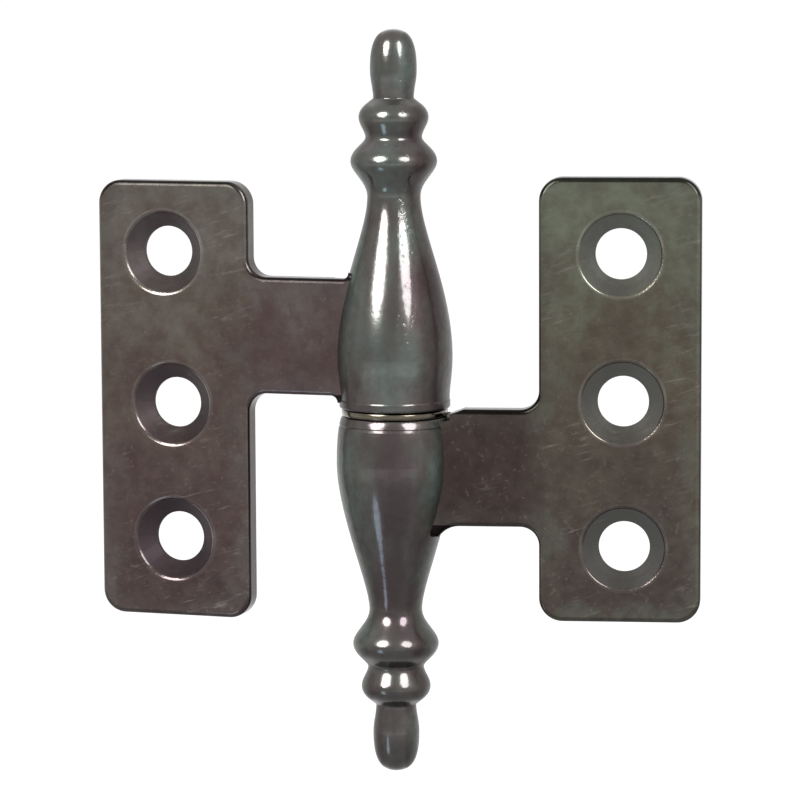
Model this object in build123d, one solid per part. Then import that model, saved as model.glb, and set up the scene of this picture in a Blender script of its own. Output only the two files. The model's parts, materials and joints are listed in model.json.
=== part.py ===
from build123d import *
import os
from math import radians, sqrt, tan

os.makedirs("parts", exist_ok=True)

# Millimetres, +Z up along the pin. Everything is drawn in the hinge's own frame
# (pin axis on Z, joint plane at z 0, frame leaf towards +X, countersunk fronts
# towards -Y) and moved at the end so that the origin is the middle of the frame
# leaf's outer screw holes, on the leaf's back face.

# leaves
LEAF_HEIGHT = 43.5
LEAF_WIDTH = 15.77
LEAF_THICKNESS = 2.0
LEAF_REACH = 30.12
LEAF_BACK_OFFSET = 0.75
CORNER_RADIUS = 2.3
DIE_ROLL = 0.5
FRAME_LEAF_RISE = 1.85
DOOR_LEAF_RISE = 1.13
DOOR_LEAF_ANGLE = 12.0

# tabs that carry the leaves to the barrel: the frame tab's top over the joint plane, the toe
# of the door tab's flare over its knuckle's rim, and the bevel for the weld behind
TAB_HEIGHT = 11.55
FRAME_TAB_TOP = 0.93
DOOR_TOE_RISE = 0.5
TAB_FILLET = 1.85
FRAME_FOOT_FLARE = 2.4
FRAME_FOOT_DROP = 1.1
DOOR_FOOT_FLARE = 0.7
DOOR_TOP_FLARE = 0.6
RELIEF_RUN = 1.35
RELIEF_DROP = 0.47
RELIEF_GAP = 0.2
WELD_BEVEL = 0.4
WELD_DEPTH = 0.6

# screw holes: how far out of the plate's middle line and how far up each one lies
HOLE_RADIUS = 2.5
SINK_RADIUS = 4.1
SINK_ANGLE = 90.0
SINK_BREAK = 0.15
FRAME_TOP_HOLE_OUT = 0.04
FRAME_TOP_HOLE_UP = 14.25
FRAME_MID_HOLE_OUT = 0.275
FRAME_MID_HOLE_UP = -0.15
FRAME_LOW_HOLE_OUT = 0.4
FRAME_LOW_HOLE_UP = -14.45
DOOR_TOP_HOLE_OUT = 0.985
DOOR_TOP_HOLE_UP = 14.67
DOOR_MID_HOLE_OUT = 0.215
DOOR_MID_HOLE_UP = -0.43
DOOR_LOW_HOLE_OUT = 0.055
DOOR_LOW_HOLE_UP = -13.96

# pin, its fits and the washer
PIN_RADIUS = 3.0
PIN_SEAT = 12.0
PIN_STAND = 13.2
PIN_CROWN = 0.6
RUNNING_CLEARANCE = 0.05
PIN_END_GAP = 1.0
BORE_MOUTH = 0.3
DRILL_POINT_ANGLE = 118.0
WASHER_RADIUS = 5.25
WASHER_THICKNESS = 0.8
WASHER_EDGE = 0.2

# olive bodies: rim, crest and neck, with the reach of each curve handle in millimetres, or
# for the short swell and shoulder as shares of their run
UPPER_RIM_RADIUS = 5.46
UPPER_RIM_EDGE = 0.25
COLLAR_HEIGHT = 0.75
COLLAR_STEP = 0.06
SWELL_HANDLES = (0.3, 0.45)
UPPER_CREST_RADIUS = 5.7
UPPER_CREST_HEIGHT = 5.85
UPPER_NECK_HEIGHT = 21.55
UPPER_CREST_REACH = 6.5
UPPER_NECK_REACH = 3.4
LOWER_RIM_RADIUS = 5.11
SHOULDER_SPREAD = 0.55
SHOULDER_DROP = 0.44
LOWER_CREST_RADIUS = 5.765
LOWER_CREST_DEPTH = 4.6
LOWER_NECK_DEPTH = 19.25
LOWER_CREST_REACH = 5.05
LOWER_NECK_REACH = 2.45
NECK_RADIUS = 2.61

# fine line turned into the lower shoulder, below the joint
LINE_DEPTH = 0.9
LINE_WIDTH = 0.3
LINE_CUT = 0.08

# finial, measured out from the neck, with the two handles of the curve that leads to each
# turning point as shares of its run
BEAD_RADIUS = 4.24
BEAD_OUT = 3.45
BEAD_HANDLES = (0.43, 0.32)
GROOVE_RADIUS = 2.77
GROOVE_OUT = 5.8
GROOVE_HANDLES = (0.5, 0.25)
SMALL_BEAD_RADIUS = 3.42
SMALL_BEAD_OUT = 7.75
SMALL_BEAD_HANDLES = (0.3, 0.4)
ACORN_NECK_RADIUS = 1.99
ACORN_NECK_OUT = 9.65
ACORN_NECK_HANDLES = (0.6, 0.15)
ACORN_RADIUS = 2.29
ACORN_OUT = 12.35
ACORN_HANDLES = (0.3, 0.4)
TIP_OUT = 16.3
TIP_FULLNESS = 1.9
TIP_HANDLE = 0.58

# how far cutting tools run past the faces they cut
CUT_CLEAR = 1.0


def curve(start, start_reach, end, end_reach):
    # Bezier points between two turning points (radius, height), upright at both ends
    way = 1 if end[1] > start[1] else -1
    handle_a = (start[0], start[1] + way * start_reach)
    handle_b = (end[0], end[1] - way * end_reach)
    return [start, handle_a, handle_b, end]


def eased(start, end, handles):
    # the same curve with its two handles given as shares of its height
    run = abs(end[1] - start[1])
    return curve(start, handles[0] * run, end, handles[1] * run)


def radius_on(points, height):
    # radius of one profile curve at a given height, by halving
    low, high = 0.0, 1.0
    rising = points[3][1] > points[0][1]
    radius = points[0][0]
    for _ in range(50):
        t = (low + high) / 2
        weights = ((1 - t) ** 3, 3 * t * (1 - t) ** 2, 3 * t * t * (1 - t), t**3)
        z = sum(w * p[1] for w, p in zip(weights, points))
        radius = sum(w * p[0] for w, p in zip(weights, points))
        if (z < height) == rising:
            low = t
        else:
            high = t
    return radius


def finial(neck_z, way):
    # curves from the neck over both beads and the acorn to the tip
    def at(radius, out):
        return (radius, neck_z + way * out)

    neck = at(NECK_RADIUS, 0)
    bead = at(BEAD_RADIUS, BEAD_OUT)
    groove = at(GROOVE_RADIUS, GROOVE_OUT)
    small = at(SMALL_BEAD_RADIUS, SMALL_BEAD_OUT)
    acorn_neck = at(ACORN_NECK_RADIUS, ACORN_NECK_OUT)
    acorn = at(ACORN_RADIUS, ACORN_OUT)
    shoulder = at(ACORN_RADIUS, ACORN_OUT + TIP_HANDLE * (TIP_OUT - ACORN_OUT))
    return [
        eased(neck, bead, BEAD_HANDLES),
        eased(bead, groove, GROOVE_HANDLES),
        eased(groove, small, SMALL_BEAD_HANDLES),
        eased(small, acorn_neck, ACORN_NECK_HANDLES),
        eased(acorn_neck, acorn, ACORN_HANDLES),
        [acorn, shoulder, at(TIP_FULLNESS, TIP_OUT), at(0, TIP_OUT)],
    ]


def turned(chain):
    # solid of revolution; two points make a line, three or four a Bezier
    edges = []
    for points in chain:
        spots = [(r, 0, z) for r, z in points]
        edges.append(Line(*spots) if len(spots) == 2 else Bezier(*spots))
    edges.append(Line(edges[-1] @ 1, edges[0] @ 0))
    return revolve(make_face(edges), Axis.Z)


def blind_hole(radius, mouth_z, depth, way):
    # drilled hole with a broken mouth edge and a drill point
    point = radius / tan(radians(DRILL_POINT_ANGLE / 2))
    out = BORE_MOUTH + CUT_CLEAR
    spots = [
        (0, mouth_z - way * CUT_CLEAR),
        (radius + out, mouth_z - way * CUT_CLEAR),
        (radius, mouth_z + way * BORE_MOUTH),
        (radius, mouth_z + way * depth),
        (0, mouth_z + way * (depth + point)),
    ]
    return turned([spots[0:2], spots[1:3], spots[2:4], spots[3:5]])


def turned_line(radius, z):
    # ring that cuts one fine V-shaped line into a turned surface of this radius
    root = (radius - LINE_CUT, z)
    over = (radius + LINE_CUT, z + LINE_WIDTH)
    under = (radius + LINE_CUT, z - LINE_WIDTH)
    return turned([[root, over], [over, under]])


# knuckle blanks, still without their holes
upper_base = WASHER_THICKNESS
collar_top = upper_base + COLLAR_HEIGHT
upper_crest = (UPPER_CREST_RADIUS, UPPER_CREST_HEIGHT)
upper_neck = (NECK_RADIUS, UPPER_NECK_HEIGHT)
swell_start = (UPPER_RIM_RADIUS - COLLAR_STEP, collar_top + 2 * COLLAR_STEP)
upper_rim_flat = UPPER_RIM_RADIUS - UPPER_RIM_EDGE
upper_swell = eased(swell_start, upper_crest, SWELL_HANDLES)
upper_olive = curve(upper_crest, UPPER_CREST_REACH, upper_neck, UPPER_NECK_REACH)
upper_chain = [
    [(0, upper_base), (upper_rim_flat, upper_base)],
    [
        (upper_rim_flat, upper_base),
        (UPPER_RIM_RADIUS, upper_base),
        (UPPER_RIM_RADIUS, upper_base + UPPER_RIM_EDGE),
    ],
    [(UPPER_RIM_RADIUS, upper_base + UPPER_RIM_EDGE), (UPPER_RIM_RADIUS, collar_top)],
    [(UPPER_RIM_RADIUS, collar_top), swell_start],
    upper_swell,
    upper_olive,
]
upper_blank = turned(upper_chain + finial(UPPER_NECK_HEIGHT, 1))

lower_crest = (LOWER_CREST_RADIUS, -LOWER_CREST_DEPTH)
lower_neck = (NECK_RADIUS, -LOWER_NECK_DEPTH)
shoulder_run = LOWER_CREST_RADIUS - LOWER_RIM_RADIUS
lower_shoulder = [
    (LOWER_RIM_RADIUS, 0),
    (LOWER_RIM_RADIUS + SHOULDER_SPREAD * shoulder_run, 0),
    (LOWER_CREST_RADIUS, -SHOULDER_DROP * LOWER_CREST_DEPTH),
    lower_crest,
]
lower_olive = curve(lower_crest, LOWER_CREST_REACH, lower_neck, LOWER_NECK_REACH)
lower_chain = [[(0, 0), (LOWER_RIM_RADIUS, 0)], lower_shoulder, lower_olive]
lower_blank = turned(lower_chain + finial(-LOWER_NECK_DEPTH, -1))

# knuckles, pin and washer: one pin radius and one running clearance drive every fit
bore_radius = PIN_RADIUS + RUNNING_CLEARANCE
bore_depth = PIN_STAND - upper_base + PIN_END_GAP
door_knuckle = upper_blank - blind_hole(bore_radius, upper_base, bore_depth, 1)
frame_knuckle = lower_blank - blind_hole(PIN_RADIUS, 0, PIN_SEAT, -1)
lower_line = turned_line(radius_on(lower_shoulder, -LINE_DEPTH), -LINE_DEPTH)
frame_knuckle = frame_knuckle - lower_line

hinge_pin = turned(
    [
        [(0, -PIN_SEAT), (PIN_RADIUS - PIN_CROWN, -PIN_SEAT)],
        [(PIN_RADIUS - PIN_CROWN, -PIN_SEAT), (PIN_RADIUS, -PIN_SEAT + PIN_CROWN)],
        [(PIN_RADIUS, -PIN_SEAT + PIN_CROWN), (PIN_RADIUS, PIN_STAND - 2 * PIN_CROWN)],
        [
            (PIN_RADIUS, PIN_STAND - 2 * PIN_CROWN),
            (PIN_RADIUS, PIN_STAND),
            (PIN_RADIUS - 2 * PIN_CROWN, PIN_STAND),
            (0, PIN_STAND),
        ],
    ]
)

washer_ring = Cylinder(WASHER_RADIUS, WASHER_THICKNESS) - Cylinder(bore_radius, 2 * WASHER_THICKNESS)
washer_rims = washer_ring.edges().filter_by(
    lambda e: e.geom_type == GeomType.CIRCLE and e.radius > (bore_radius + WASHER_RADIUS) / 2
)
washer = Pos(0, 0, WASHER_THICKNESS / 2) * fillet(washer_rims, WASHER_EDGE)


def sink_tool(x, z):
    # through hole with its countersink opening to the front, the rim left sharp
    front_y = -LEAF_BACK_OFFSET - LEAF_THICKNESS
    sink_depth = (SINK_RADIUS - HOLE_RADIUS) / tan(radians(SINK_ANGLE / 2))
    spots = [
        (0, CUT_CLEAR),
        (SINK_RADIUS + CUT_CLEAR * tan(radians(SINK_ANGLE / 2)), CUT_CLEAR),
        (HOLE_RADIUS, -sink_depth),
        (HOLE_RADIUS, -LEAF_THICKNESS - CUT_CLEAR),
        (0, -LEAF_THICKNESS - CUT_CLEAR),
    ]
    tool = turned([spots[0:2], spots[1:3], spots[2:4], spots[3:5]])
    return Pos(x, front_y, z) * Rot(90, 0, 0) * tool


def flare(edge_z, way, radius, drop, barrel_x):
    # root flare: the tab's edge swings out on an arc to a toe on the barrel, drop away from the edge
    root_x = barrel_x + sqrt(2 * radius * drop - drop**2)
    root = Pos(root_x / 2, edge_z) * Rectangle(root_x, 2 * drop)
    scoop = Pos(root_x, edge_z + way * radius) * Circle(radius)
    return root - scoop


def leaf(holes, tab_z, flares, tab_cut, barrel_radius):
    # one stamping towards +X with its plate's middle at z 0 and its tab's middle at tab_z
    inner_x = LEAF_REACH - LEAF_WIDTH
    plate_x = LEAF_REACH - LEAF_WIDTH / 2
    tab_run = inner_x + 2 * CORNER_RADIUS
    plate = Pos(plate_x, 0) * RectangleRounded(LEAF_WIDTH, LEAF_HEIGHT, CORNER_RADIUS)
    tab = Pos(tab_run / 2, tab_z) * Rectangle(tab_run, TAB_HEIGHT)
    outline = plate + tab
    corners = outline.vertices().filter_by(
        lambda v: abs(v.X - inner_x) < 1e-3 and abs(abs(v.Y - tab_z) - TAB_HEIGHT / 2) < 1e-3
    )
    outline = fillet(corners, TAB_FILLET)
    for way, radius, drop, barrel_x in flares:
        outline = outline + flare(tab_z + way * TAB_HEIGHT / 2, way, radius, drop, barrel_x)
    back = Plane.XZ.offset(LEAF_BACK_OFFSET)
    stamping = extrude(back * outline, LEAF_THICKNESS)
    front = stamping.faces().sort_by(Axis.Y)[0]
    stamping = fillet(front.outer_wire().edges(), DIE_ROLL)
    if tab_cut is not None:
        stamping = stamping - extrude(back * tab_cut, LEAF_THICKNESS)
    for out, up in holes:
        stamping = stamping - sink_tool(plate_x + out, up)
    rims = stamping.edges().filter_by(
        lambda e: e.geom_type == GeomType.CIRCLE and abs(e.radius - SINK_RADIUS) < 0.01
    )
    stamping = fillet(rims, SINK_BREAK)
    # bevel along the back of the tab's end, outside the barrel's widest point
    bevel_x = barrel_radius + WELD_BEVEL
    back_y = -LEAF_BACK_OFFSET
    bevel = make_face(
        Polyline(
            (bevel_x, back_y),
            (bevel_x - WELD_DEPTH, back_y - WELD_DEPTH),
            (0, back_y - WELD_DEPTH),
            (0, back_y),
            close=True,
        )
    )
    return stamping - Pos(0, 0, -LEAF_HEIGHT / 2) * extrude(bevel, LEAF_HEIGHT)


# frame leaf: its tab stops under the joint plane, and beyond the turning rim its corner rises on a slope
mid_offset = LEAF_BACK_OFFSET + LEAF_THICKNESS / 2
relief_x = max(UPPER_RIM_RADIUS, WASHER_RADIUS) + RELIEF_GAP
relief = Pos(0, -FRAME_LEAF_RISE) * make_face(
    Polyline(
        (0, -RELIEF_GAP),
        (relief_x, -RELIEF_GAP),
        (relief_x, FRAME_TAB_TOP - RELIEF_DROP),
        (relief_x + RELIEF_RUN, FRAME_TAB_TOP),
        (relief_x + RELIEF_RUN, FRAME_TAB_TOP + CUT_CLEAR),
        (0, FRAME_TAB_TOP + CUT_CLEAR),
        close=True,
    )
)
frame_toe_z = FRAME_TAB_TOP - TAB_HEIGHT - FRAME_FOOT_DROP
frame_flares = [(-1, FRAME_FOOT_FLARE, FRAME_FOOT_DROP, radius_on(lower_olive, frame_toe_z))]
frame_tab_z = FRAME_TAB_TOP - TAB_HEIGHT / 2 - FRAME_LEAF_RISE
frame_holes = [
    (FRAME_TOP_HOLE_OUT, FRAME_TOP_HOLE_UP),
    (FRAME_MID_HOLE_OUT, FRAME_MID_HOLE_UP),
    (FRAME_LOW_HOLE_OUT, FRAME_LOW_HOLE_UP),
]
frame_stamping = leaf(frame_holes, frame_tab_z, frame_flares, relief, LOWER_CREST_RADIUS)
frame_leaf = Pos(0, 0, FRAME_LEAF_RISE) * frame_stamping - lower_blank

# door leaf: drawn towards +X, then mirrored to the other side of the pin
door_foot_z = upper_base + DOOR_TOE_RISE + DOOR_FOOT_FLARE
door_top_z = door_foot_z + TAB_HEIGHT + DOOR_TOP_FLARE
door_foot_x = sqrt(UPPER_RIM_RADIUS**2 - mid_offset**2)
door_top_x = sqrt(radius_on(upper_olive, door_top_z) ** 2 - mid_offset**2)
door_flares = [
    (-1, DOOR_FOOT_FLARE, DOOR_FOOT_FLARE, door_foot_x),
    (1, DOOR_TOP_FLARE, DOOR_TOP_FLARE, door_top_x),
]
door_tab_z = door_foot_z + TAB_HEIGHT / 2 - DOOR_LEAF_RISE
door_holes = [
    (DOOR_TOP_HOLE_OUT, DOOR_TOP_HOLE_UP),
    (DOOR_MID_HOLE_OUT, DOOR_MID_HOLE_UP),
    (DOOR_LOW_HOLE_OUT, DOOR_LOW_HOLE_UP),
]
door_stamping = leaf(door_holes, door_tab_z, door_flares, None, UPPER_CREST_RADIUS)
door_flat = Pos(0, 0, DOOR_LEAF_RISE) * mirror(door_stamping, Plane.YZ) - upper_blank
door_leaf = Rot(0, 0, -DOOR_LEAF_ANGLE) * door_flat

# into the shared frame
origin_x = LEAF_REACH - LEAF_WIDTH / 2 + (FRAME_TOP_HOLE_OUT + FRAME_LOW_HOLE_OUT) / 2
origin_z = FRAME_LEAF_RISE + (FRAME_TOP_HOLE_UP + FRAME_LOW_HOLE_UP) / 2
to_frame = Pos(-origin_x, LEAF_BACK_OFFSET, -origin_z)

export_step(to_frame * frame_leaf, "parts/frame_leaf.step")
export_step(to_frame * frame_knuckle, "parts/frame_knuckle.step")
export_step(to_frame * hinge_pin, "parts/hinge_pin.step")
export_step(to_frame * washer, "parts/washer.step")
export_step(to_frame * door_knuckle, "parts/door_knuckle.step")
export_step(to_frame * door_leaf, "parts/door_leaf.step")

for name, solid in (
    ("frame_leaf", frame_leaf),
    ("frame_knuckle", frame_knuckle),
    ("hinge_pin", hinge_pin),
    ("washer", washer),
    ("door_knuckle", door_knuckle),
    ("door_leaf", door_leaf),
):
    box = (to_frame * solid).bounding_box()
    print(name, "solids", len(solid.solids()), "volume", round(solid.volume, 2), "box", box.min, box.max)
print("pin axis", -origin_x, LEAF_BACK_OFFSET, "joint plane", -origin_z)
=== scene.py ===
import bpy
import json
import numpy as np
from mathutils import Matrix, Vector

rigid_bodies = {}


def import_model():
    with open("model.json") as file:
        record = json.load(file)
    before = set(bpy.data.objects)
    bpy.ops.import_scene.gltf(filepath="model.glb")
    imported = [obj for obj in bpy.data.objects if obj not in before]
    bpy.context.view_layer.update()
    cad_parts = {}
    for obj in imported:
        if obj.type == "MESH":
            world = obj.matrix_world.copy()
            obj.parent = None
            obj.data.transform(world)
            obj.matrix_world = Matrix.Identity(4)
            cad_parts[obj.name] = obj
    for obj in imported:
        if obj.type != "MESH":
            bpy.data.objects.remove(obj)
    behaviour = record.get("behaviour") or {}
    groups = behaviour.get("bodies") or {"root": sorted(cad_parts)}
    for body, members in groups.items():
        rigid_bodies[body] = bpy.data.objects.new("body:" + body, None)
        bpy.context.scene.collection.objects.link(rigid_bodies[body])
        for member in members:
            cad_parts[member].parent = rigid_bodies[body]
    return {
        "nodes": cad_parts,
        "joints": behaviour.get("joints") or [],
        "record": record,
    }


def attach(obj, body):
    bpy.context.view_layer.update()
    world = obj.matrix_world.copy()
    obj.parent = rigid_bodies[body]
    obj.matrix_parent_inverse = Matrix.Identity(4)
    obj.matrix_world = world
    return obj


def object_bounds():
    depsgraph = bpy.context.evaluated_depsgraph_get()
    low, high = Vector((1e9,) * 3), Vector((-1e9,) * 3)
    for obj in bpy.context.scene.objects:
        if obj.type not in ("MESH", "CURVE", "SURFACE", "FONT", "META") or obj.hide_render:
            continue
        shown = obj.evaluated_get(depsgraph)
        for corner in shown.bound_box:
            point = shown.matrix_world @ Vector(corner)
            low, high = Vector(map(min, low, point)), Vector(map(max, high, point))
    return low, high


# start from an empty scene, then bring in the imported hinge
for leftOver in list(bpy.data.objects):
    bpy.data.objects.remove(leftOver)
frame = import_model()
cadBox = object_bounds()
mm = 0.001
pinSpot = np.array(frame["joints"][0]["pos_m"])  # on the pin's axis, at the joint plane
up = np.array((0.0, 0.0, 1.0))
print("frame loaded:", sorted(frame["nodes"]))


def nodePoints(name):
    mesh = frame["nodes"][name].data
    spots = np.empty(3 * len(mesh.vertices))
    mesh.vertices.foreach_get("co", spots)
    return spots.reshape(-1, 3) - pinSpot  # measured from the pin


# how a leaf lies, read off its node: out runs from the pin along the leaf, back is its rear normal
leafPlan = {
    "flat": 0.02 * mm,      # how near to the back face a point counts as on it
    "cornerRun": 4.0 * mm,  # plate ends that hold its inner corners
    "bevelRun": 1.0 * mm,   # tab stretch kept out of the weld bevel
    "filletRun": 1.7 * mm,  # and out of the inner fillet
    "margin": 2.0 * mm,     # plate border that no screw hole reaches
    "corner": 2.3 * mm,     # rounding of the plate's corners
    "fillet": 1.85 * mm,    # rounding between plate and tab
}


def leafLayout(half):
    v = leafPlan
    spots = nodePoints(half + "_leaf")
    rear = next(m["axis"] for m in frame["record"]["mounts"] if m["name"] == half + "_leaf_back")
    back = np.array(rear) / np.linalg.norm(rear)
    out = np.cross(back, up)
    out = out * np.sign((spots @ out).mean())
    along, rise, deep = spots @ out, spots[:, 2], spots @ back
    ends = np.minimum(rise.max() - rise, rise - rise.min()) < v["cornerRun"]
    inner = along[ends].min()
    onBack = deep > deep.max() - v["flat"]
    weldEdge = along[onBack].min()  # where the bevel starts on the back face
    border = np.minimum(along - inner, along.max() - along)
    border = np.minimum(border, np.minimum(rise - rise.min(), rise.max() - rise))
    ring = onBack & (border > v["margin"])  # on the back face only the holes' edges lie that far in
    edges = np.stack([along[ring], rise[ring]], -1)[np.argsort(rise[ring])]
    edges = np.split(edges, np.where(np.diff(edges[:, 1]) > v["margin"])[0] + 1)
    tab = (along > weldEdge + v["bevelRun"]) & (along < inner - v["filletRun"])
    root = along < weldEdge
    return {
        "out": out, "back": back, "reach": along.max(), "inner": inner,
        "low": rise.min(), "high": rise.max(), "tabLow": rise[tab].min(), "tabHigh": rise[tab].max(),
        "frontFace": deep.min(), "backFace": deep.max(), "weldEdge": weldEdge,
        "rootLow": rise[root].min(), "rootHigh": rise[root].max(),
        "holes": np.array([(edge.min(0) + edge.max(0)) / 2 for edge in edges]),
    }


layouts = {half: leafLayout(half) for half in ("frame", "door")}
for half, lay in layouts.items():
    print(half, "leaf, screw holes in mm:", np.round(lay["holes"] / mm, 2).tolist())


# node helpers: put() makes a node, links the sockets it is given and sets the plain values
def put(tree, kind, inputs=None, **settings):
    made = tree.nodes.new(kind)
    for name, value in settings.items():
        setattr(made, name, value)
    for name, value in (inputs or {}).items():
        if isinstance(value, bpy.types.NodeSocket):
            tree.links.new(value, made.inputs[name])
        else:
            made.inputs[name].default_value = value
    return made


def newFinish(name):
    finish = bpy.data.materials.new(name)
    finish.use_nodes = True
    tree = finish.node_tree
    tree.nodes.clear()
    coords = put(tree, "ShaderNodeTexCoord").outputs["Object"]
    shader = put(tree, "ShaderNodeBsdfPrincipled", {"Metallic": 1.0})
    put(tree, "ShaderNodeOutputMaterial", {"Surface": shader.outputs["BSDF"]})
    return finish, tree, coords, shader


def noiseField(tree, coords, scale, detail, rough, stretch=(1, 1, 1), turn=(0, 0, 0)):
    mapped = put(tree, "ShaderNodeMapping", {"Vector": coords, "Scale": stretch, "Rotation": turn},
                 vector_type="TEXTURE")  # turned first, then stretched
    field = put(tree, "ShaderNodeTexNoise", {
        "Vector": mapped.outputs["Vector"], "Scale": scale, "Detail": detail, "Roughness": rough})
    return field.outputs["Fac"]


def noiseFields(tree, coords, kinds):
    return {name: noiseField(tree, coords, **kind) for name, kind in kinds.items()}


noiseRange = (0.3, 0.7)  # nearly all of a noise field lies in here


def ranged(tree, value, low, high, toLow=0.0, toHigh=1.0, ease="LINEAR"):
    made = put(tree, "ShaderNodeMapRange", {
        "Value": value, "From Min": low, "From Max": high, "To Min": toLow, "To Max": toHigh},
        interpolation_type=ease)
    return made.outputs["Result"]


def sums(tree, how, first, second=0.0):
    return put(tree, "ShaderNodeMath", {0: first, 1: second}, operation=how).outputs[0]


def plus(tree, first, second):
    return sums(tree, "ADD", first, second)


def minus(tree, first, second):
    return sums(tree, "SUBTRACT", first, second)


def times(tree, first, second):
    return sums(tree, "MULTIPLY", first, second)


def most(tree, first, second):
    return sums(tree, "MAXIMUM", first, second)


def least(tree, *values):
    smallest = values[0]
    for value in values[1:]:
        smallest = sums(tree, "MINIMUM", smallest, value)
    return smallest


def unsigned(tree, value):
    return sums(tree, "ABSOLUTE", value)


def mixed(tree, amount, first, second, how="MIX"):
    sockets = {0: amount}
    for place, value in ((6, first), (7, second)):
        sockets[place] = value if isinstance(value, bpy.types.NodeSocket) else (*value, 1.0)
    return put(tree, "ShaderNodeMix", sockets, data_type="RGBA", blend_type=how).outputs[2]


def ramp(tree, value, stops):
    made = put(tree, "ShaderNodeValToRGB", {"Fac": value})
    band = made.color_ramp
    for place, colour in stops[1:-1]:
        band.elements.new(place)
    for element, (place, colour) in zip(band.elements, stops):
        element.position = place
        element.color = (*colour, 1.0)
    return made.outputs["Color"]


def bumps(tree, layers, normal=None):
    for height, depth in layers:
        made = put(tree, "ShaderNodeBump", {"Height": height, "Distance": depth, "Strength": 1.0})
        if normal is not None:
            tree.links.new(normal, made.inputs["Normal"])
        normal = made.outputs["Normal"]
    return normal


def fromPin(tree, coords):
    return put(tree, "ShaderNodeVectorMath", {0: coords, 1: pinSpot}, operation="SUBTRACT").outputs[0]


def skinFacing(tree):
    return put(tree, "ShaderNodeTexCoord").outputs["Normal"]


def span(tree, first, second):
    # length of the hypotenuse over two sides
    corner = put(tree, "ShaderNodeCombineXYZ", {0: first, 1: second}).outputs[0]
    return put(tree, "ShaderNodeVectorMath", {0: corner}, operation="LENGTH").outputs["Value"]


def partAlong(tree, vector, way):
    return put(tree, "ShaderNodeVectorMath", {0: vector, 1: way}, operation="DOT_PRODUCT").outputs["Value"]


# burnished bronze on a stamped leaf, satin: purple-brown inside, grey-green along the edges; lighter
# grey-green towards the top as painted light, with painted shade on the tab, the outline and the
# countersinks
leafFinish = {
    # lighter and greener up the leaf: painted light
    "tones": [
        (0.0, (0.061, 0.042, 0.039)),
        (0.35, (0.088, 0.065, 0.054)),
        (0.65, (0.120, 0.099, 0.077)),
        (1.0, (0.172, 0.172, 0.135)),
    ],
    "toneWander": 0.2,
    "leafLightTints": {"frame": (1.02, 1.12, 1.04), "door": (1.02, 0.95, 1.01)},  # painted light: the two leaves are lit a little differently
    # painted shade on the tab beside the barrel, deepest on the frame leaf
    "tabShades": {"frame": (0.58, 0.48, 0.54), "door": (0.90, 0.84, 0.95)},
    "tabRun": (-2.0 * mm, 1.0 * mm),  # from the plate's inner edge
    "edgeTone": (0.132, 0.131, 0.108),
    "edgeRun": 3.0 * mm,
    "edgeWander": 2.4 * mm,
    "edgeShare": 0.45,
    "lineRun": (0.08 * mm, 0.2 * mm),   # in from the outline: painted dark edge line and painted shade on the cut side
    "rollRun": (0.48 * mm, 0.60 * mm),  # and the rolled edge where it faces up, painted dark against the lamps' highlight
    "rollFaces": (0.03, 0.22),
    "rollDepth": (0.4 * mm, 0.7 * mm),  # behind the front face: from roll to cut side
    "rollShade": 0.16,
    "cutShade": 0.5,
    "innerShade": {"frame": 0.16, "door": 0.5},  # painted shade on the rolled edge towards the pin
    "innerFaces": (-0.5, -0.15),
    "backRun": (0.06 * mm, 0.02 * mm),  # short of the back face, which stays plain
    "sinkDepth": (0.06 * mm, 0.2 * mm),
    # painted shade in the countersinks, darkest on the door leaf
    "sinkShadeTones": {"frame": (0.106, 0.108, 0.101), "door": (0.050, 0.039, 0.045)},
    "sinkShare": 0.68,
    "sinkFaces": (-0.7, 0.7),  # painted light and shade: lighter on the side that faces down, darker on the side that faces up, where the lamps reach
    "sinkShadeLean": (1.65, 0.5),
    "sinkRoughness": 0.62,
    "lipRun": (4.05 * mm, 4.34 * mm),   # eased edge round each countersink, from its middle
    "lipFade": 0.1 * mm,
    "lipBack": (0.5, 0.9),              # shares of the thickness over which the easing ends
    "lipDrop": 0.055 * mm,
    "lipCoat": 1.0,
    "stainTone": (0.84, 0.76, 0.76),
    "stainRange": (0.42, 0.62),
    "mottleTone": (0.8, 0.8, 0.82),
    "mottleRange": (0.35, 0.7),
    "mottleDepth": 0.012 * mm,
    "grainDepth": 0.005 * mm,
    "speckRange": (0.62, 0.74),
    "speckShare": 0.2,
    "scratchTone": (0.25, 0.225, 0.205),  # specks have it too
    "scratchRange": (0.59, 0.7),
    "scratchedRange": (0.46, 0.6),        # patches that have scratches
    "scratchedShare": 0.5,
    "tabScratches": 0.25,                 # how much of them the tab has
    "roughness": (0.16, 0.24),
    "coat": 0.3,
    "dullCoat": 0.03,                     # on the edge and in the countersinks
    "coatRoughness": 0.1,
    "noise": {
        "patch": {"scale": 170, "detail": 4, "rough": 0.6},
        "stain": {"scale": 560, "detail": 4, "rough": 0.65},
        "mottle": {"scale": 1000, "detail": 3, "rough": 0.6},
        "speck": {"scale": 2300, "detail": 2, "rough": 0.5},
        "grain": {"scale": 5200, "detail": 2, "rough": 0.6},
        "scratched": {"scale": 140, "detail": 2, "rough": 0.5},
        # long and thin, turned in radians to rise to the right
        "scratch": {"scale": 900, "detail": 3, "rough": 0.6,
                    "stretch": (3.0, 1, 0.34), "turn": (0, -0.27, 0)},
    },
}


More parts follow.
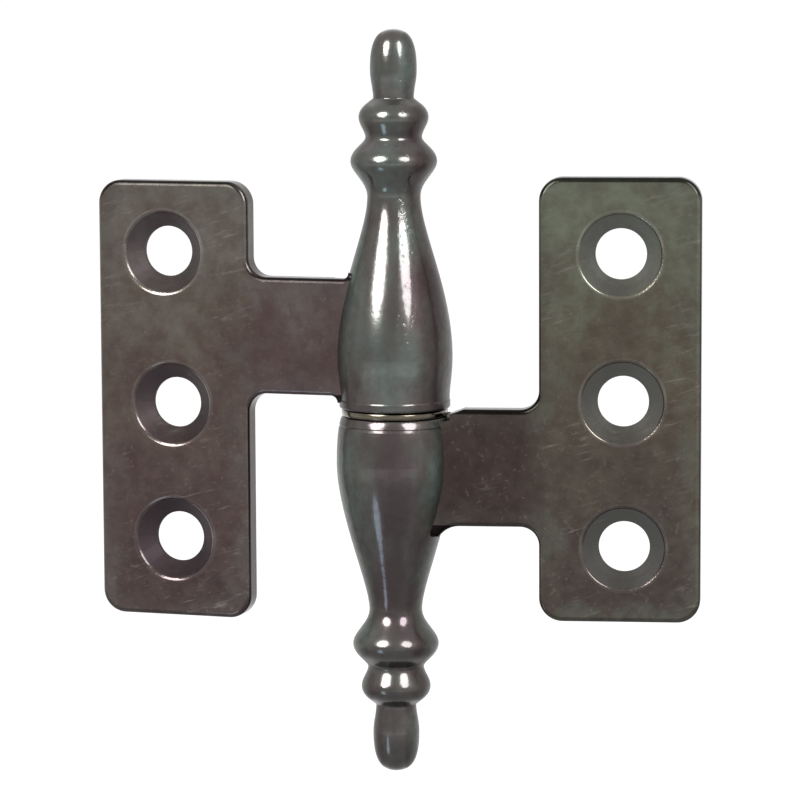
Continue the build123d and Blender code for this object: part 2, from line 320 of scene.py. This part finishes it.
def edgeDepth(tree, along, rise, lay):
    # How far in from the outline a spot lies: the plate is a box with rounded corners, the tab a
    # plain strip, and the two are joined with the fillet's radius between them.
    corner, fillet = leafPlan["corner"], leafPlan["fillet"]
    overs = []
    for place, low, high in ((along, lay["inner"], lay["reach"]), (rise, lay["low"], lay["high"])):
        offMiddle = unsigned(tree, minus(tree, place, (low + high) / 2))
        overs.append(minus(tree, offMiddle, (high - low) / 2 - corner))
    beyond = span(tree, most(tree, overs[0], 0.0), most(tree, overs[1], 0.0))
    within = least(tree, most(tree, overs[0], overs[1]), 0.0)
    plate = minus(tree, minus(tree, corner, beyond), within)
    tab = least(
        tree,
        minus(tree, lay["tabHigh"], rise),
        minus(tree, rise, lay["tabLow"]),
        minus(tree, lay["inner"] + leafFinish["edgeRun"], along),
    )
    joined = span(tree, most(tree, plus(tree, plate, fillet), 0.0),
                  most(tree, plus(tree, tab, fillet), 0.0))
    nearest = times(tree, most(tree, plate, tab), -1.0)
    return minus(tree, joined, most(tree, nearest, fillet))


def leafColour(tree, half, fields, deep, along, rise):
    v = leafFinish
    lay = layouts[half]
    tint = v["leafLightTints"][half]
    toneWander = ranged(tree, fields["patch"], *noiseRange, -v["toneWander"], v["toneWander"])
    # painted light: the tone climbs with height, so the leaf is lighter and greener towards the top where
    # the studio's light falls, plus a random wander
    heightLitTone = plus(tree, ranged(tree, rise, lay["low"], lay["high"]), toneWander)
    colour = ramp(tree, heightLitTone, [(place, np.multiply(one, tint)) for place, one in v["tones"]])
    edgeWander = ranged(tree, fields["patch"], *noiseRange, -v["edgeWander"], v["edgeWander"])
    fromEdge = plus(tree, deep, edgeWander)
    edge = ranged(tree, fromEdge, 0.0, v["edgeRun"], v["edgeShare"], 0.0, "SMOOTHSTEP")
    colour = mixed(tree, edge, colour, np.multiply(v["edgeTone"], tint))
    # painted shade: the tab darker where it meets the barrel
    onTab = ranged(tree, minus(tree, along, lay["inner"]), *v["tabRun"], 1.0, 0.0)
    colour = mixed(tree, onTab, colour, v["tabShades"][half], "MULTIPLY")
    stained = ranged(tree, fields["stain"], *v["stainRange"])
    colour = mixed(tree, stained, colour, v["stainTone"], "MULTIPLY")
    mottled = ranged(tree, fields["mottle"], *v["mottleRange"])
    colour = mixed(tree, mottled, colour, v["mottleTone"], "MULTIPLY")
    specked = ranged(tree, fields["speck"], *v["speckRange"], 0.0, v["speckShare"])
    colour = mixed(tree, specked, colour, v["scratchTone"])
    scratched = ranged(tree, fields["scratched"], *v["scratchedRange"], 0.0, v["scratchedShare"])
    worn = times(tree, ranged(tree, fields["scratch"], *v["scratchRange"]), scratched)
    worn = times(tree, worn, ranged(tree, onTab, 0.0, 1.0, 1.0, v["tabScratches"]))
    return mixed(tree, worn, colour, v["scratchTone"])


def burnishedLeaf(half):
    v = leafFinish
    lay = layouts[half]
    thick = lay["backFace"] - lay["frontFace"]
    finish, tree, coords, shader = newFinish("burnished" + half.title() + "Leaf")
    fields = noiseFields(tree, coords, v["noise"])
    spot = fromPin(tree, coords)
    along, rise = partAlong(tree, spot, lay["out"]), partAlong(tree, spot, up)
    behind = minus(tree, partAlong(tree, spot, lay["back"]), lay["frontFace"])  # front face is 0
    facing = skinFacing(tree)
    facesUp, facesOut = partAlong(tree, facing, up), partAlong(tree, facing, lay["out"])
    deep = edgeDepth(tree, along, rise, lay)
    fromHole = least(tree, *[
        span(tree, minus(tree, along, hole[0]), minus(tree, rise, hole[1])) for hole in lay["holes"]])
    colour = leafColour(tree, half, fields, deep, along, rise)
    # painted shade: a dark line round the outline, the rolled edge dark where it faces up to the lamps,
    # and the cut side darker
    offBack = ranged(tree, behind, thick - v["backRun"][0], thick - v["backRun"][1], 1.0, 0.0)
    rolled = ranged(tree, deep, *v["rollRun"], 1.0, 0.0, "SMOOTHSTEP")
    rolled = times(tree, rolled, ranged(tree, facesUp, *v["rollFaces"]))
    outline = most(tree, ranged(tree, deep, *v["lineRun"], 1.0, 0.0, "SMOOTHSTEP"), rolled)
    rollShade = ranged(tree, facesOut, *v["innerFaces"], v["innerShade"][half], v["rollShade"])
    shade = ranged(tree, behind, *v["rollDepth"], rollShade, v["cutShade"])
    colour = mixed(tree, times(tree, outline, offBack), colour, shade, "MULTIPLY")
    # painted shade: the countersinks take a darker tone per leaf, lighter or darker by which way they face
    inHole = times(tree, ranged(tree, fromHole, *v["lipRun"], 1.0, 0.0), offBack)
    sunk = times(tree, ranged(tree, behind, *v["sinkDepth"]), inHole)
    shadeLean = ranged(tree, facesUp, *v["sinkFaces"], *v["sinkShadeLean"])
    holeShade = mixed(tree, 1.0, v["sinkShadeTones"][half], shadeLean, "MULTIPLY")
    colour = mixed(tree, times(tree, sunk, v["sinkShare"]), colour, holeShade)
    tree.links.new(colour, shader.inputs["Base Color"])
    rough = ranged(tree, fields["mottle"], *noiseRange, *v["roughness"])
    rough = most(tree, rough, times(tree, sunk, v["sinkRoughness"]))
    tree.links.new(rough, shader.inputs["Roughness"])
    # thin gloss on the front, full on the lips alone
    onFront = ranged(tree, behind, *v["sinkDepth"], 1.0, 0.0)
    gloss = ranged(tree, most(tree, outline, sunk), 0.0, 1.0, v["coat"], v["dullCoat"])
    lipEnd = v["lipRun"][1]
    onLip = times(tree, ranged(tree, fromHole, lipEnd, lipEnd + v["lipFade"], 1.0, 0.0), onFront)
    gloss = most(tree, gloss, times(tree, onLip, v["lipCoat"]))
    tree.links.new(gloss, shader.inputs["Coat Weight"])
    shader.inputs["Coat Roughness"].default_value = v["coatRoughness"]
    # the lip falls towards the hole on the front face alone
    lipRise = ranged(tree, fromHole, *v["lipRun"], 0.0, 1.0, "SMOOTHSTEP")
    lip = most(tree, lipRise, ranged(tree, behind, thick * v["lipBack"][0], thick * v["lipBack"][1]))
    eased = bumps(tree, [(lip, v["lipDrop"])])
    tree.links.new(eased, shader.inputs["Coat Normal"])
    layers = [(fields["mottle"], v["mottleDepth"]), (fields["grain"], v["grainDepth"])]
    tree.links.new(bumps(tree, layers, eased), shader.inputs["Normal"])
    return finish


# the same bronze on the turned knuckles under a hard gloss, pitted on the side towards the frame leaf
knuckleFinish = {
    "tones": [
        (0.3, (0.060, 0.041, 0.042)),
        (0.5, (0.086, 0.081, 0.073)),
        (0.7, (0.109, 0.134, 0.118)),
    ],
    "mottleTone": (0.76, 0.76, 0.76),
    "mottleRange": (0.35, 0.7),
    "mottleDepth": 0.011 * mm,
    "ringDepth": 0.0015 * mm,
    "roughness": (0.17, 0.25),
    "coat": 1.0,
    "coatRoughness": 0.075,
    "flank": (0.40, 0.61),              # sideways share of the skin's normal: duller there
    "dullFlank": 0.2,                   # roughness added on the flanks
    "flankCoat": 0.22,
    "jointRun": (-0.1 * mm, 0.1 * mm),  # from the lower knuckle to the upper one
    "sideRun": (1.0 * mm, 4.0 * mm),    # painted shade: browner above towards the frame leaf and below in the middle, with a painted greener sheen on the lower flanks
    "upperShadeShift": (0.0, -0.1),
    "lowerShadeAndSheen": (-0.14, 0.08),
    "oliveEnd": (-24 * mm, -20 * mm),   # the painted brown middle below reaches only down to the beads
    "pitStart": (0.3 * mm, 0.9 * mm),   # band beside the middle, towards the frame leaf
    "pitEnd": (1.8 * mm, 2.5 * mm),
    "pitRise": (6.0 * mm, 9.0 * mm),    # and from here up, over the joint plane
    "pitRange": (0.30, 0.42),
    "pitElsewhere": 0.08,               # share of the depth outside the band
    "pitDepth": 0.022 * mm,
    "waveRun": (2.6 * mm, 4.2 * mm),    # from here out the skin is wavy
    "waveElsewhere": 0.1,
    "waveDepth": 0.06 * mm,
    "noise": {
        "patch": {"scale": 210, "detail": 4, "rough": 0.6, "stretch": (1, 1, 1.8)},
        "mottle": {"scale": 1300, "detail": 3, "rough": 0.6},
        "pits": {"scale": 1350, "detail": 3, "rough": 0.6},
        "waves": {"scale": 620, "detail": 2, "rough": 0.5},
        "rings": {"scale": 1600, "detail": 2, "rough": 0.5, "stretch": (8, 8, 0.45)},
    },
}


def burnishedKnuckle():
    v = knuckleFinish
    finish, tree, coords, shader = newFinish("burnishedKnuckleBronze")
    fields = noiseFields(tree, coords, v["noise"])
    spot = fromPin(tree, coords)
    side, rise = partAlong(tree, spot, layouts["frame"]["out"]), partAlong(tree, spot, up)
    aside = unsigned(tree, side)
    sideways = unsigned(tree, partAlong(tree, skinFacing(tree), layouts["frame"]["out"]))
    flank = ranged(tree, sideways, *v["flank"], 0.0, 1.0, "SMOOTHSTEP")
    # painted shade and reflection: browner or greener by place
    upper = ranged(tree, side, *v["sideRun"], *v["upperShadeShift"])
    lower = ranged(tree, aside, *v["sideRun"], *v["lowerShadeAndSheen"])
    onUpper = ranged(tree, rise, *v["jointRun"])
    onLower = times(tree, ranged(tree, rise, *v["jointRun"], 1.0, 0.0), ranged(tree, rise, *v["oliveEnd"]))
    paintedShift = plus(tree, times(tree, upper, onUpper), times(tree, lower, onLower))
    colour = ramp(tree, plus(tree, fields["patch"], paintedShift), v["tones"])
    mottled = ranged(tree, fields["mottle"], *v["mottleRange"])
    colour = mixed(tree, mottled, colour, v["mottleTone"], "MULTIPLY")
    tree.links.new(colour, shader.inputs["Base Color"])
    rough = ranged(tree, fields["mottle"], *noiseRange, *v["roughness"])
    rough = plus(tree, rough, times(tree, flank, v["dullFlank"]))
    tree.links.new(rough, shader.inputs["Roughness"])
    gloss = ranged(tree, flank, 0.0, 1.0, v["coat"], v["flankCoat"])
    tree.links.new(gloss, shader.inputs["Coat Weight"])
    shader.inputs["Coat Roughness"].default_value = v["coatRoughness"]
    # pits in their band, waves on the outer sides, fine turned rings all over
    band = times(tree, ranged(tree, side, *v["pitStart"], 0.0, 1.0, "SMOOTHSTEP"),
                 ranged(tree, side, *v["pitEnd"], 1.0, 0.0, "SMOOTHSTEP"))
    band = times(tree, band, ranged(tree, rise, *v["pitRise"]))
    pitted = ranged(tree, band, 0.0, 1.0, v["pitElsewhere"], 1.0)
    dents = times(tree, ranged(tree, fields["pits"], *v["pitRange"]), pitted)
    wavy = ranged(tree, aside, *v["waveRun"], v["waveElsewhere"], 1.0, "SMOOTHSTEP")
    waves = times(tree, fields["waves"], wavy)
    normal = bumps(tree, [
        (waves, v["waveDepth"]),
        (dents, v["pitDepth"]),
        (fields["mottle"], v["mottleDepth"]),
        (fields["rings"], v["ringDepth"]),
    ])
    tree.links.new(normal, shader.inputs["Normal"])
    tree.links.new(normal, shader.inputs["Coat Normal"])
    return finish


# bright drawn steel of the pin
pinFinish = {
    "colour": (0.45, 0.45, 0.46),
    "smear": (0.32, 0.32, 0.33),
    "smearRange": (0.35, 0.65),
    "roughness": (0.2, 0.34),
    "lineDepth": 0.004 * mm,
    "noise": {
        "lines": {"scale": 900, "detail": 4, "rough": 0.6, "stretch": (0.25, 0.25, 7)},
        "smear": {"scale": 350, "detail": 3, "rough": 0.55},
    },
}


def drawnSteel():
    v = pinFinish
    finish, tree, coords, shader = newFinish("drawnPinSteel")
    fields = noiseFields(tree, coords, v["noise"])
    colour = mixed(tree, ranged(tree, fields["smear"], *v["smearRange"]), v["smear"], v["colour"])
    tree.links.new(colour, shader.inputs["Base Color"])
    rough = ranged(tree, fields["lines"], *noiseRange, *v["roughness"])
    tree.links.new(rough, shader.inputs["Roughness"])
    tree.links.new(bumps(tree, [(fields["lines"], v["lineDepth"])]), shader.inputs["Normal"])
    return finish


# tarnished brass of the washer
washerFinish = {
    "colour": (0.14, 0.118, 0.078),
    "tarnish": (0.085, 0.072, 0.055),
    "tarnishRange": (0.35, 0.65),
    "roughness": (0.14, 0.22),
    "coat": 0.7,
    "coatRoughness": 0.06,
    "crown": 0.12 * mm,
    "ringDepth": 0.003 * mm,
    "noise": {
        "tarnish": {"scale": 420, "detail": 4, "rough": 0.6},
        "rings": {"scale": 3000, "detail": 2, "rough": 0.5, "stretch": (5, 5, 0.33)},
    },
}


def turnedBrass():
    v = washerFinish
    finish, tree, coords, shader = newFinish("turnedWasherBrass")
    fields = noiseFields(tree, coords, v["noise"])
    colour = mixed(tree, ranged(tree, fields["tarnish"], *v["tarnishRange"]), v["tarnish"], v["colour"])
    tree.links.new(colour, shader.inputs["Base Color"])
    rough = ranged(tree, fields["tarnish"], *noiseRange, *v["roughness"])
    tree.links.new(rough, shader.inputs["Roughness"])
    shader.inputs["Coat Weight"].default_value = v["coat"]
    shader.inputs["Coat Roughness"].default_value = v["coatRoughness"]
    # the crown is a parabola over the rim's height
    heights = nodePoints("washer")[:, 2]
    half = (heights.max() - heights.min()) / 2
    rise = minus(tree, partAlong(tree, fromPin(tree, coords), up), heights.min() + half)
    crown = ranged(tree, times(tree, rise, rise), 0.0, half**2, 1.0, 0.0)
    normal = bumps(tree, [(crown, v["crown"]), (fields["rings"], v["ringDepth"])])
    tree.links.new(normal, shader.inputs["Normal"])
    tree.links.new(normal, shader.inputs["Coat Normal"])
    return finish


# weld metal, scaly and a little bluer than the bronze round it
weldFinish = {
    "scale": (0.045, 0.042, 0.045),
    "bare": (0.13, 0.115, 0.105),
    "bareRange": (0.38, 0.66),
    "roughness": (0.55, 0.32),  # on scale and on bare metal
    "skinDepth": 0.02 * mm,
    "gritDepth": 0.006 * mm,
    "noise": {
        "skin": {"scale": 900, "detail": 4, "rough": 0.65},
        "grit": {"scale": 4200, "detail": 2, "rough": 0.6},
    },
}


def scaledWeld():
    v = weldFinish
    finish, tree, coords, shader = newFinish("scaledWeldMetal")
    fields = noiseFields(tree, coords, v["noise"])
    colour = mixed(tree, ranged(tree, fields["skin"], *v["bareRange"]), v["scale"], v["bare"])
    tree.links.new(colour, shader.inputs["Base Color"])
    rough = ranged(tree, fields["skin"], *noiseRange, *v["roughness"])
    tree.links.new(rough, shader.inputs["Roughness"])
    layers = [(fields["skin"], v["skinDepth"]), (fields["grit"], v["gritDepth"])]
    tree.links.new(bumps(tree, layers), shader.inputs["Normal"])
    return finish


knuckleBronze = burnishedKnuckle()
nodeFinishes = {
    "frame_leaf": burnishedLeaf("frame"),
    "door_leaf": burnishedLeaf("door"),
    "frame_knuckle": knuckleBronze,
    "door_knuckle": knuckleBronze,
    "hinge_pin": drawnSteel(),
    "washer": turnedBrass(),
}
for name, finish in nodeFinishes.items():
    cadMesh = frame["nodes"][name].data
    cadMesh.materials.clear()
    cadMesh.materials.append(finish)
print("finishes on the CAD nodes:", len(nodeFinishes))

# weld beads in the bevel behind each tab
weldBead = {
    "below": 0.27 * mm,       # middle of the bead under the leaf's back face
    "halfHeight": 0.26 * mm,
    "bite": 0.12 * mm,        # how far it runs into the barrel and the bevel
    "inset": 0.06 * mm,       # short of the tab's ends
    "endRun": 0.9 * mm,
    "rippleEvery": 0.62 * mm,
    "rippleShare": 0.16,
    "bow": 0.45 * mm,         # how far each ripple's middle lags behind its sides
    "barrelLeast": 3.6 * mm,  # smaller radii belong to the bore
    "steps": 340,
    "round": 30,
}


def barrelRadius(half, heights):
    # outer radius of the knuckle at these heights, read off its node
    spots = nodePoints(half + "_knuckle")
    radius = np.hypot(spots[:, 0], spots[:, 1])
    outer = radius > weldBead["barrelLeast"]
    order = np.argsort(spots[outer, 2])
    return np.interp(heights, spots[outer, 2][order], radius[outer][order])


def weldAlong(half):
    # An ellipse carried up the pin's direction: its width fills the gap from barrel to bevel, its
    # size falls to nothing over the last run at both ends like a quarter circle, and bowed ripples
    # swell it by a cosine of the height.
    v = weldBead
    lay = layouts[half]
    low = max(lay["tabLow"], lay["rootLow"]) + v["inset"]
    high = min(lay["tabHigh"], lay["rootHigh"]) - v["inset"]
    rise = np.linspace(low, high, v["steps"])[:, None]
    turn = np.linspace(0, 2 * np.pi, v["round"], endpoint=False)[None, :]
    middle = lay["backFace"] - v["below"]
    barrel = np.sqrt(barrelRadius(half, rise) ** 2 - middle**2) - v["bite"]
    bevel = lay["weldEdge"] - v["below"] + v["bite"]
    toEnd = np.minimum(rise - low, high - rise) / v["endRun"]
    taper = np.sqrt(1 - np.clip(1 - toEnd, 0, 1) ** 2)
    lag = v["bow"] * np.cos(turn) ** 2
    ripple = 1 + v["rippleShare"] * (np.cos(2 * np.pi * (rise + lag) / v["rippleEvery"]) - 1) / 2
    along = (barrel + bevel) / 2 + taper * (bevel - barrel) / 2 * np.cos(turn)
    deep = middle + taper * ripple * v["halfHeight"] * np.sin(turn)
    spots = along[..., None] * lay["out"] + deep[..., None] * lay["back"] + rise[..., None] * up
    return spots + pinSpot


def skinGrid(name, spots):
    # closed tube over a grid of rings; the first and last ring have shrunk to a point each
    steps, around = spots.shape[:2]
    rings = spots[1:-1].reshape(-1, 3)
    points = np.vstack([rings, spots[0].mean(0), spots[-1].mean(0)])
    row = np.arange(steps - 3)[:, None] * around
    here = np.arange(around)[None, :]
    after = (here + 1) % around
    quads = np.stack([row + here, row + after, row + around + after, row + around + here], -1)
    quads = quads.reshape(-1, 4)
    lastRow = (steps - 3) * around
    first = np.full(around, len(points) - 2)
    last = np.full(around, len(points) - 1)
    startFan = np.stack([first, after[0], here[0]], -1)
    endFan = np.stack([lastRow + here[0], lastRow + after[0], last], -1)
    mesh = bpy.data.meshes.new(name)
    mesh.from_pydata(points.tolist(), [], quads.tolist() + startFan.tolist() + endFan.tolist())
    corners = points[quads[:, :3]] - rings.mean(0)
    volume = np.sum(corners[:, 0] * np.cross(corners[:, 1], corners[:, 2]))
    if volume < 0:  # faces point inwards
        mesh.flip_normals()
    mesh.polygons.foreach_set("use_smooth", np.ones(len(mesh.polygons), bool))
    piece = bpy.data.objects.new(name, mesh)
    bpy.context.scene.collection.objects.link(piece)
    return piece


weldMetal = scaledWeld()
for half in layouts:
    bead = skinGrid(half + "WeldBead", weldAlong(half))
    bead.data.materials.append(weldMetal)
    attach(bead, half + "_half")
print("weld beads laid:", len(layouts))

# camera at the photograph's angle
camera = {
    "azimuth": 6.1,
    "elevation": 6.9,
    "roll": -0.26,
    "distance": 385 * mm,
    "lens": 176.2,
    "sensor": 36.0,
    "nearest": 10 * mm,
    "aimUp": 1.5 * mm,  # over the joint plane
    "aimRight": 0.506 * mm,
}


def wayTo(azimuth, elevation):
    az, el = np.radians((azimuth, elevation))
    return Vector((np.sin(az) * np.cos(el), -np.cos(az) * np.cos(el), np.sin(el)))


def turnedTo(way):
    return way.to_track_quat("Z", "Y").to_matrix().to_4x4()


def aimCamera():
    v = camera
    away = wayTo(v["azimuth"], v["elevation"])
    lens = bpy.data.cameras.new("photoCamera")
    lens.lens = v["lens"]
    lens.sensor_width = v["sensor"]
    lens.clip_start = v["nearest"]
    seen = bpy.data.objects.new("photoCamera", lens)
    bpy.context.scene.collection.objects.link(seen)
    turn = turnedTo(away)
    right = turn.col[0].to_3d()
    target = Vector(pinSpot) + Vector((0, 0, v["aimUp"])) + right * v["aimRight"]
    roll = Matrix.Rotation(np.radians(v["roll"]), 4, "Z")
    seen.matrix_world = Matrix.Translation(target + away * v["distance"]) @ turn @ roll
    bpy.context.scene.camera = seen


aimCamera()
print("camera aimed")

# two tall soft lamps in front, the left one stronger, and a faint cool card below, in a white studio
# that is darker in front, left of the camera
studio = {
    "lamps": [
        {"name": "leftLamp", "azimuth": -35, "elevation": 31, "away": 0.6,
         "size": (0.32, 0.38), "watts": 4.1, "tint": (0.98, 0.99, 1.0)},
        {"name": "rightLamp", "azimuth": 39, "elevation": 31, "away": 0.6,
         "size": (0.29, 0.38), "watts": 2.8, "tint": (0.94, 0.96, 1.0)},
        {"name": "coolCard", "azimuth": -38, "elevation": -36, "away": 0.12,
         "size": (0.024, 0.04), "watts": 0.006, "tint": (0.6, 0.8, 1.0)},
    ],
    "white": (1, 1, 1, 1),
    "worldOnSurfaces": 0.35,
    "frontWay": -32.0,          # azimuth of the darker front
    "frontSpan": (0.55, 0.98),  # cosine of the angle from it: edge and middle
    "frontLevels": (0.95, 0.70),
    "floorDrop": 52 * mm,       # under the lowest tip
    "floorHalf": 30.0,
    "floorColour": (0.28, 0.28, 0.28, 1),
    "floorGlow": 0.93,
    "glowBehind": (-0.10, 0.20),  # metal sees the floor's full glow only behind the hinge, in metres of y
    "glowFar": (0.15, 0.45),      # and far off nearly the room's, in metres from the hinge
    "glowLevels": (0.25, 0.93),
}


def roomLevel(tree, way):
    # what metal sees of the room in a direction
    facing = partAlong(tree, way, wayTo(studio["frontWay"], 0))
    return ranged(tree, facing, *studio["frontSpan"], *studio["frontLevels"], "SMOOTHSTEP")


def rayKinds(tree):
    # rays from the camera, and rays that a piece mirrors or lets through
    path = put(tree, "ShaderNodeLightPath").outputs
    return path["Is Camera Ray"], most(tree, path["Is Glossy Ray"], path["Is Transmission Ray"])


def lightStudio():
    v = studio
    for one in v["lamps"]:
        way = wayTo(one["azimuth"], one["elevation"])
        lamp = bpy.data.lights.new(one["name"], "AREA")
        lamp.shape = "ELLIPSE"
        lamp.size, lamp.size_y = one["size"]
        lamp.energy = one["watts"]
        lamp.color = one["tint"]
        hung = bpy.data.objects.new(one["name"], lamp)
        hung.visible_camera = False
        bpy.context.scene.collection.objects.link(hung)
        hung.matrix_world = Matrix.Translation(Vector(pinSpot) + way * one["away"]) @ turnedTo(way)
    world = bpy.data.worlds.new("whiteStudio")
    world.use_nodes = True
    tree = world.node_tree
    tree.nodes.clear()
    seen, mirrored = rayKinds(tree)
    looking = put(tree, "ShaderNodeTexCoord").outputs["Generated"]
    onMetal = times(tree, mirrored, roomLevel(tree, looking))
    onOthers = ranged(tree, mirrored, 0.0, 1.0, v["worldOnSurfaces"], 0.0)
    strength = most(tree, plus(tree, onMetal, onOthers), seen)
    glow = put(tree, "ShaderNodeBackground", {"Color": v["white"], "Strength": strength})
    put(tree, "ShaderNodeOutputWorld", {"Surface": glow.outputs["Background"]})
    bpy.context.scene.world = world


def layFloor():
    v = studio
    height = cadBox[0][2] - v["floorDrop"]
    half = v["floorHalf"]
    corners = [(-half, -half, height), (half, -half, height), (half, half, height), (-half, half, height)]
    mesh = bpy.data.meshes.new("floor")
    mesh.from_pydata(corners, [], [(0, 1, 2, 3)])
    floor = bpy.data.objects.new("floor", mesh)
    bpy.context.scene.collection.objects.link(floor)
    paint = bpy.data.materials.new("paleFloor")
    paint.use_nodes = True
    tree = paint.node_tree
    tree.nodes.clear()
    coords = put(tree, "ShaderNodeTexCoord").outputs["Object"]
    level = put(tree, "ShaderNodeVectorMath", {0: coords, 1: (1, 1, 0)}, operation="MULTIPLY").outputs[0]
    far = put(tree, "ShaderNodeVectorMath", {0: level}, operation="LENGTH").outputs["Value"]
    way = put(tree, "ShaderNodeVectorMath", {0: level}, operation="NORMALIZE").outputs[0]
    depth = partAlong(tree, coords, (0, 1, 0))
    behind = ranged(tree, depth, *v["glowBehind"], 0.0, 1.0, "SMOOTHSTEP")
    around = ranged(tree, far, *v["glowFar"], *v["glowLevels"], "SMOOTHSTEP")
    around = times(tree, around, roomLevel(tree, way))
    seen, mirrored = rayKinds(tree)
    onMetal = times(tree, mirrored, most(tree, behind, around))
    strength = times(tree, most(tree, onMetal, seen), v["floorGlow"])
    matt = put(tree, "ShaderNodeBsdfDiffuse", {"Color": v["floorColour"]})
    glow = put(tree, "ShaderNodeEmission", {"Color": v["white"], "Strength": strength})
    both = put(tree, "ShaderNodeAddShader", {0: matt.outputs["BSDF"], 1: glow.outputs["Emission"]})
    put(tree, "ShaderNodeOutputMaterial", {"Surface": both.outputs["Shader"]})
    mesh.materials.append(paint)


lightStudio()
layFloor()
bpy.context.scene.view_settings.view_transform = "Standard"
print("studio lit")
